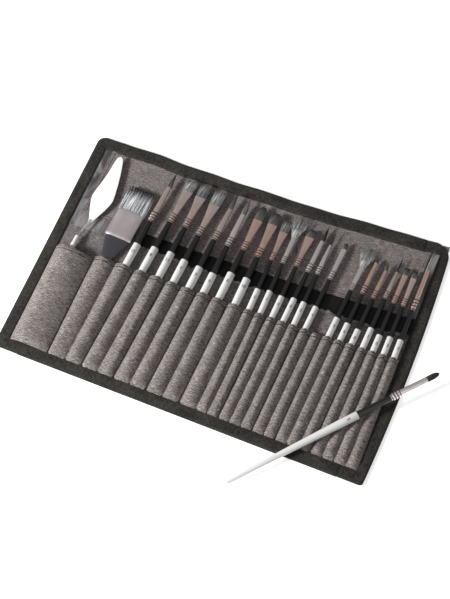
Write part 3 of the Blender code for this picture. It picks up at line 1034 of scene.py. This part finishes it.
def tool_matrix(body, lift=0.0):
    """From a tool's own millimetres (Z along it, X to its side, Y up) to the model, lift mm higher."""
    at, along = SPINES[body]
    at = at + Vector((0, 0, lift * MM))
    side = Vector((along.y, -along.x, 0)).normalized()
    up = side.cross(along).normalized()
    axes = Matrix((side, up, along)).transposed().to_4x4()
    return Matrix.Translation(at) @ axes @ Matrix.Scale(MM, 4)


def marks_along(body):
    """A function from a depth of the case to the distance along a tool."""
    at, along = SPINES[body]
    foot = (at.y - LOW.y) / MM
    return lambda depth: (depth - foot) / along.y


def stations(mark, *rows):
    """A profile for turning, from rows of (depth, half width, half thickness)."""
    return [(mark(depth), wide, thick) for depth, wide, thick in rows]


def hair_bundle(name, strands, material, to_world, radius=0.1, grain=0.014):
    """Filaments as one mesh: strands is a list of point lists in the tool's own millimetres."""
    curve = bpy.data.curves.new(name, "CURVE")
    curve.dimensions = "3D"
    curve.bevel_depth, curve.bevel_resolution = radius, 0
    for points in strands:
        spline = curve.splines.new("POLY")
        spline.points.add(len(points) - 1)
        for i, (point, co) in enumerate(zip(spline.points, points)):
            point.co = (*co, 1)
            point.radius = 1.0 - 0.75 * (i / (len(points) - 1)) ** 2
    mesh = mesh_of(name, curve, material)
    low = min(s[0][2] for s in strands)
    high = max(s[-1][2] for s in strands)
    layer = mesh.uv_layers.active or mesh.uv_layers.new(name="UVMap")
    for loop in mesh.loops:
        co = mesh.vertices[loop.vertex_index].co
        layer.data[loop.index].uv = (co.x * grain + co.y * grain, (co.z - low) / (high - low))
    mesh.transform(to_world)
    mesh.shade_smooth()
    return show(name, mesh)


def between(x, x0, x1, a, b):
    t = min(1.0, max(0.0, (x - x0) / (x1 - x0)))
    return a + (b - a) * t


# %% [markdown]
# ## The shape of a brush head
# Each kind of head is an outline: half width and half thickness at a share t from the ferrule to the tip,
# and how far up each filament reaches. A solid core gives the head its body, the filaments its edge.


# %% Head outlines
def outline(kind, wide, thick, t):
    """Half width and half thickness of a head at share t of its length."""
    if kind == "round":
        swell = 1 + 0.35 * sin(pi * min(1, t * 1.4)) if t < 0.7 else 1.0
        taper = (1 - t) ** 0.62 if t > 0.35 else between(t, 0, 0.35, 1, 0.765)
        return wide * swell * taper, wide * swell * taper
    if kind == "liner":
        return wide * (1 - t) ** 0.8, wide * (1 - t) ** 0.8
    if kind == "filbert":
        edge = 1.0 if t < 0.5 else sqrt(max(0.0, 1 - ((t - 0.5) / 0.5) ** 2.4))
        return wide * (0.94 + 0.1 * t) * edge, thick * (1 - 0.7 * t)
    if kind == "dagger":
        return wide * (1 - t) ** 0.5, thick * (1 - 0.8 * t)
    if kind == "fan":
        return between(t, 0, 1, 3.2, wide), thick * (1 - 0.75 * t)
    return wide * (0.96 + 0.12 * t), thick * (1 - 0.8 * t)


HAIR_SPREAD = 1.02


def head_strands(kind, wide, thick, low, high, count, seed):
    """Filaments from the ferrule at low to the head's outline near high."""
    rng = random.Random(seed)
    strands = []
    for i in range(count):
        a = rng.uniform(-1, 1)
        b = rng.uniform(-1, 1) * sqrt(1 - a * a * 0.8)
        if rng.random() < 0.5:
            b = (1 if b > 0 else -1) * sqrt(max(0.0, 1 - a * a)) * rng.uniform(0.85, 1.05)
        reach = 1.0 - rng.random() ** 2 * 0.12
        if kind == "filbert":
            reach *= 0.5 + 0.5 * (1 - abs(a) ** 2.4) ** 0.5
        elif kind in ("round", "liner"):
            reach *= 1.0 - 0.25 * abs(a) ** 2
        elif kind == "fan":
            reach *= 1.0 - 0.20 * a * a
            b *= 0.6
        elif kind == "angled":
            reach *= 0.86 + 0.14 * a
        elif kind == "dagger":
            reach *= 1.0 - 0.35 * (a + 1) / 2
        stray = (rng.gauss(0, 0.25), rng.gauss(0, 0.15))
        points = []
        for step in range(6):
            t = step / 5 * reach
            w, h = outline(kind, wide, thick, min(t, 0.985))
            points.append((a * w * HAIR_SPREAD + stray[0] * t * t, b * h * HAIR_SPREAD + stray[1] * t * t,
                           low + (high - low) * t))
        strands.append(points)
    return strands


def head_core(name, kind, wide, thick, low, high, material, to_world):
    """The solid body inside the filaments; a fan has none beyond its root."""
    end = 0.45 if kind == "fan" else 0.93
    stations = []
    for i in range(11):
        t = end * i / 10
        w, h = outline(kind, wide, thick, t)
        close = sqrt(max(0.02, 1 - max(0.0, (i - 8) / 2.2) ** 2))
        stations.append((low + (high - low) * t, 0.9 * w * close, 0.82 * h * close))
    return turned(name, stations, material, to_world, 18, 60)


# %% [markdown]
# ## The brushes
# A long-handled brush is a pearl handle that swells to a collar, a thinner black section, a plated ferrule
# crimped on with two or three rings, and the hair. Each brush lies on its own line in the model; only the
# lengths of its sections and the kind of head are listed here.

# %% Brush parts
# name: (pearl top, ferrule start, ferrule end, tip: depths in mm; collar radius; head kind, half width,
# half thickness; ferrule plate; hair; generic size number)
WIDE, SLIM = 5.8, 4.4
WIDE_LIFT, SLIM_LIFT = 0.3, 0.7
KINDS = {
    "round_large": (217, 257, 318, 344, WIDE, "round", 3.0, 3.0, ROSE, DARK_TIP_HAIR, "12"),
    "flat_large": (221, 266, 322, 342, WIDE, "flat", 8.6, 2.0, ROSE, PALE_HAIR, "8"),
    "filbert_large": (222, 266, 319, 344, WIDE, "filbert", 8.6, 2.1, ROSE, GREY_HAIR, "14"),
    "flat_wide": (218, 261, 315, 341, WIDE, "flat", 8.6, 2.0, ROSE, PALE_HAIR, "4"),
    "round_medium": (216, 263, 317, 346, WIDE, "round", 2.9, 2.9, BEIGE, DARK_TIP_HAIR, "2"),
    "round_soft": (213, 260, 315, 342, WIDE, "round", 3.4, 3.4, SILVER, GREY_HAIR, "9"),
    "filbert_medium": (223, 262, 314, 339, WIDE, "filbert", 7.6, 2.1, COPPER, DARK_TIP_HAIR, "6"),
    "angled_flat": (223, 259, 315, 336, WIDE, "angled", 7.6, 2.0, COPPER, DARK_TIP_HAIR, "10"),
    "flat_small": (214, 262, 310, 330, SLIM, "flat", 6.4, 1.8, COPPER, GREY_HAIR, "1"),
    "fan_large": (217, 263, 306, 345, SLIM, "fan", 17.5, 1.4, SILVER, PALE_HAIR, "7"),
    "filbert_small": (215, 265, 315, 329, SLIM, "filbert", 7.2, 1.8, COPPER, DARK_TIP_HAIR, "5"),
    "round_long": (218, 262, 315, 341, SLIM, "round", 2.8, 2.8, SILVER, DARK_HAIR, "9"),
    "liner_medium": (217, 263, 313, 333, SLIM, "liner", 1.5, 1.5, SILVER, DARK_HAIR, "3"),
    "round_small": (216, 261, 312, 323, SLIM, "filbert", 3.8, 1.7, SILVER, DARK_TIP_HAIR, "4"),
    "fan_small": (210, 255, 294, 326, SLIM, "fan", 16.0, 1.3, SILVER, PALE_HAIR, "2"),
    "round_short": (207, 255, 306, 314, SLIM, "round", 2.4, 2.4, COPPER, DARK_TIP_HAIR, "6"),
    "round_fine": (203, 253, 299, 311, SLIM, "round", 2.2, 2.2, COPPER, DARK_TIP_HAIR, "0"),
    "liner_long": (211, 258, 302, 325, SLIM, "liner", 1.5, 1.5, BEIGE, DARK_HAIR, "1"),
    "flat_fine": (205, 255, 301, 313, SLIM, "flat", 4.2, 1.6, COPPER, DARK_TIP_HAIR, "8"),
    "filbert_fine": (207, 255, 300, 312, SLIM, "filbert", 4.4, 1.6, ROSE, DARK_TIP_HAIR, "3"),
    "dagger": (207, 253.5, 317, 349, SLIM, "dagger", 2.6, 1.6, COPPER, PALE_HAIR, "2"),
}


def size_number(name, text, body, along, radius, to_world):
    """The size, printed on the handle: flat type wrapped round the lacquer, reading across the handle."""
    font = bpy.data.curves.new(name, "FONT")
    font.body, font.size, font.align_x, font.align_y = text, 6.4, "CENTER", "CENTER"
    font.offset = 0.14
    mesh = mesh_of(name, font, INK)
    for v in mesh.vertices:
        angle = v.co.x / radius + radians(12)
        v.co = ((radius + 0.04) * sin(angle), (radius + 0.04) * cos(angle), along + v.co.y)
    mesh.transform(to_world)
    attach(show(name, mesh), body)


def ferrule_profile(start, end, radius, wide, thick):
    """Stations of a crimped ferrule: two rings near the wood, then a press from round to the head's root."""
    r = 0.78 * radius
    stations = [(start, r * 0.97, r * 0.97), (start + 0.8, r, r)]
    body = end - start
    for ring in range(3):
        centre = start + (CRIMP_START + CRIMP_PITCH * ring) * body
        for off, swell in ((-0.42, 0.92), (-0.22, 1.14), (0.22, 1.14), (0.42, 0.92)):
            stations.append((centre + off * CRIMP_PITCH * body, swell * r, swell * r))
    for t in (0.35, 0.5, 0.65, 0.8, 0.92, 1.0):
        ease = between(t, 0.3, 1.0, 0, 1) ** 1.3
        stations.append((start + body * t, r + (wide - r) * ease, r + (thick - r) * ease))
    stations.append((end + 0.15, wide * 0.93, thick * 0.9))
    return stations


def handle_profile(top, radius, blunt):
    """Stations of the pearl handle, from its rounded end, of blunt collar radii, to its shoulder."""
    end = blunt * radius
    middle = (0.72 + blunt) / 2 * radius + 0.1
    rings = [(0.0, 0.45 * end), (0.7, 0.8 * end), (2.5, end), (0.35 * top, middle),
             (0.7 * top, 0.90 * radius), (0.86 * top, 0.99 * radius), (top - 1.2, radius), (top - 0.3, 0.95 * radius), (top, 0.82 * radius)]
    return [(along, r, r) for along, r in rings]


def build_brush(name, body, marks, to_world, radius, kind, wide, thick, plate, fur, number, nodes,
                blunt=0.54):
    """All pieces of one brush, riding on its body; marks are distances from the handle's end."""
    top, start, end, tip = marks
    pieces = [turned(f"{name}_handle", handle_profile(top, radius, blunt), PEARL, to_world)]
    rings = [(top - 0.4, 0.80), (top + 0.5, 0.83), (0.6 * top + 0.4 * start, 0.82), (start + 1, 0.74)]
    neck = [(along, share * radius, share * radius) for along, share in rings]
    pieces.append(turned(f"{name}_neck", neck, BLACK, to_world))
    root_wide, root_thick = outline(kind, wide, thick, 0)
    if kind == "round":
        root_wide = root_thick = wide
    tube = ferrule_profile(start, end, radius, root_wide + 0.25, root_thick + 0.3)
    pieces.append(turned(f"{name}_ferrule", tube, plate, to_world, 24))
    pieces.append(head_core(f"{name}_head", kind, wide, thick, end - 0.5, tip, fur, to_world))
    count = {"fan": 150, "flat": 150, "filbert": 140, "angled": 140}.get(kind, 70)
    strands = head_strands(kind, wide, thick, end - 1.0, tip, count, name)
    pieces.append(hair_bundle(f"{name}_hair", strands, fur, to_world, 0.13))
    for piece in pieces:
        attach(piece, body)
    size_number(f"{name}_number", number, body, top - 14, radius, to_world)
    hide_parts(*nodes)


for name, (top, start, end, tip, radius, kind, wide, thick, plate, fur, number) in KINDS.items():
    body = f"brush_{name}"
    mark = marks_along(body)
    marks = [mark(settled(tool_x(body, depth), depth)[1]) for depth in (top, start, end, tip)]
    to_world = tool_matrix(body, SLIM_LIFT if radius == SLIM else WIDE_LIFT)
    build_brush(name, body, marks, to_world, radius, kind, wide, thick, plate, fur, number, [body])
print(len(KINDS), "brushes in pockets")

# %% [markdown]
# ## The loose brush
# One brush has been taken out of its pocket and laid across the corner. It is built like the others, on the
# line that its two model nodes give.

# %% Loose brush
handle_box, head_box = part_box("loose_brush_handle"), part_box("loose_brush_head")
LOOSE_NODES = ["loose_brush_handle", "loose_brush_head"]
corners = node_corners(LOOSE_NODES)
rough_line = (Vector(head_box[1]) - Vector(handle_box[0])).normalized()


def end_centre(points, line, far):
    limit = (max if far else min)(p.dot(line) for p in points)
    near = [p for p in points if abs(p.dot(line) - limit) < 1.2e-3]
    return sum(near, Vector()) / len(near)


first, last = end_centre(corners, rough_line, False), end_centre(corners, rough_line, True)
loose_line = (last - first).normalized()
first, last = end_centre(corners, loose_line, False), end_centre(corners, loose_line, True)
loose_line = (last - first).normalized()
side = Vector((loose_line.y, -loose_line.x, 0)).normalized()
loose_axes = Matrix((side, side.cross(loose_line), loose_line)).transposed().to_4x4()
loose_world = Matrix.Translation(first) @ loose_axes @ Matrix.Scale(MM, 4)
length = (last - first).length / MM
build_brush("loose", "loose_brush", [0.615 * length, 0.77 * length, 0.94 * length, length], loose_world, 5.6,
            "filbert", 4.0, 2.2, SILVER, DARK_HAIR, "5", LOOSE_NODES, blunt=0.66)
print(f"loose brush {length:.0f} mm long")

# %% [markdown]
# ## The wash brush
# The wash brush is broad and flat: a slate-black shoulder, a wide folded ferrule with a bead near its foot,
# and thick pale filaments that stand in clumps.

# %% Wash brush
wash_mark = marks_along("wash_brush")
wash_world = tool_matrix("wash_brush") @ Matrix.Diagonal((1.07, 1.0, 1.0, 1.0))


def box_section(piece):
    """Square up a turned piece's round section, as a folded ferrule is."""
    back = wash_world.inverted()
    for v in piece.data.vertices:
        co = back @ v.co
        angle = atan2(co.y / 4.6, co.x / 20.5)
        stretch = (abs(cos(angle)) ** 4 + abs(sin(angle)) ** 4) ** -0.25
        co.x *= 1 + (stretch - 1) * 0.25
        co.y *= stretch
        v.co = wash_world @ co


shoulder = stations(wash_mark, (24, 1.2, 1.0), (26, 3.0, 2.2), (120, 4.9, 2.8), (176, 6.0, 3.2),
                    (179, 8.6, 3.3), (182, 9.4, 3.4), (198, 14.6, 3.4), (213.5, 19.2, 3.4))
wash_handle = turned("wash_handle", shoulder, GREY_BLACK, wash_world, 28)
broad = stations(wash_mark, (213, 19.4, 3.9), (213.6, 20.0, 4.0), (216, 20.2, 4.1), (217, 20.4, 4.2),
                 (218, 20.2, 4.1), (236, 20.2, 4.0), (256, 20.2, 3.9), (257, 20.3, 3.9), (258, 20.0, 3.6))
wash_ferrule = turned("wash_ferrule", broad, BROAD_PLATE, wash_world, 36)
wash_low, wash_high = wash_mark(257), wash_mark(298)
core = stations(wash_mark, (257, 18.6, 2.6), (272, 19.4, 2.3), (286, 19.6, 1.6), (292, 19.0, 0.8))
wash_core = turned("wash_head", core, WASH_HAIR, wash_world, 28, 60)
rng = random.Random("wash")
strands = []
clumps = [-0.95 + 1.9 * i / 10 + rng.uniform(-0.05, 0.05) for i in range(11)]
for i in range(900):
    a = rng.uniform(-1, 1)
    gather = min(clumps, key=lambda c: abs(c - a))
    b = rng.uniform(-1, 1)
    reach = 1.0 - 0.03 * rng.random() ** 2 - 0.08 * max(0.0, abs(a) - 0.82) / 0.18 - 0.01 * (1 + sin(a * 17))
    points = []
    for step in range(6):
        t = step / 5
        here = a + (gather - a) * 0.55 * t ** 1.5
        points.append((19.9 * here * (1 + 0.05 * t), b * 3.3 * (1 - 0.5 * t),
                       wash_low + (wash_high - wash_low) * t * reach))
    strands.append(points)
wash_hair = hair_bundle("wash_hair", strands, WASH_HAIR, wash_world, 0.2, 0.0075)
for piece, slot_name, node in ((wash_handle, "black_lacquer", "wash_brush_handle"),
                               (wash_ferrule, "ferrule", "wash_brush_ferrule"),
                               (wash_core, "bristles", "wash_brush_bristles"),
                               (wash_hair, "bristles", None)):
    if node:
        box_section(piece)
        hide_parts(node)
    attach(piece, "wash_brush")
print("wash brush made")

# %% [markdown]
# ## The palette knife
# The blade is thin polished steel, a long rounded diamond on a cranked neck; the neck runs into a pearl
# collar and the handle goes down into the big pocket.

# %% Palette knife
knife_mark = marks_along("palette_knife")
knife_world = tool_matrix("palette_knife")
grip = stations(knife_mark, (30, 1.0, 1.0), (31, 2.8, 2.6), (60, 5.6, 4.7), (130, 5.4, 4.7), (170, 4.6, 4.4),
                (181, 4.2, 4.2), (183, 4.2, 4.2), (184, 3.9, 3.9), (194, 3.7, 3.7), (195.8, 3.2, 3.2))
knife_handle = turned("knife_handle", grip, PEARL, knife_world, 28)
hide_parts("palette_knife_handle")
stem = stations(knife_mark, (194, 1.8, 1.8), (206, 1.5, 1.5), (216, 1.7, 1.3),
                 (222, 2.4, 0.9), (228, 4.0, 0.6))
knife_stem = turned("knife_stem", stem, SILVER, knife_world, 16)
blade_outline = [(222, 2.6), (228, 4.2), (236, 7.8), (246, 12.0), (256, 15.4), (263, 16.9), (268, 16.8),
                 (276, 15.6), (292, 12.6), (308, 9.8), (322, 7.4), (330, 5.8),
                 (334.5, 4.2), (336.6, 2.2), (337.2, 0.4)]
blade = [(knife_mark(y), w, between(y, 222, 337, 0.65, 0.35)) for y, w in blade_outline]
knife_blade = turned("knife_blade", blade, STEEL, knife_world, 24, 60)
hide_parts("palette_knife_blade")
crank = [(194, 0.0), (204, 1.0), (214, 4.0), (226, 7.0), (300, 7.0), (338, 2.5)]
for piece in (knife_stem, knife_blade):
    back = knife_world.inverted()
    for v in piece.data.vertices:
        co = back @ v.co
        for (a, left), (b, right) in zip(crank, crank[1:]):
            if knife_mark(a) <= co.z < knife_mark(b):
                co.x += between(co.z, knife_mark(a), knife_mark(b), left, right)
                break
        v.co = knife_world @ co
for piece, slot_name in ((knife_handle, "pearl_lacquer"), (knife_stem, "steel"), (knife_blade, "steel")):
    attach(piece, "palette_knife")
print("palette knife made")
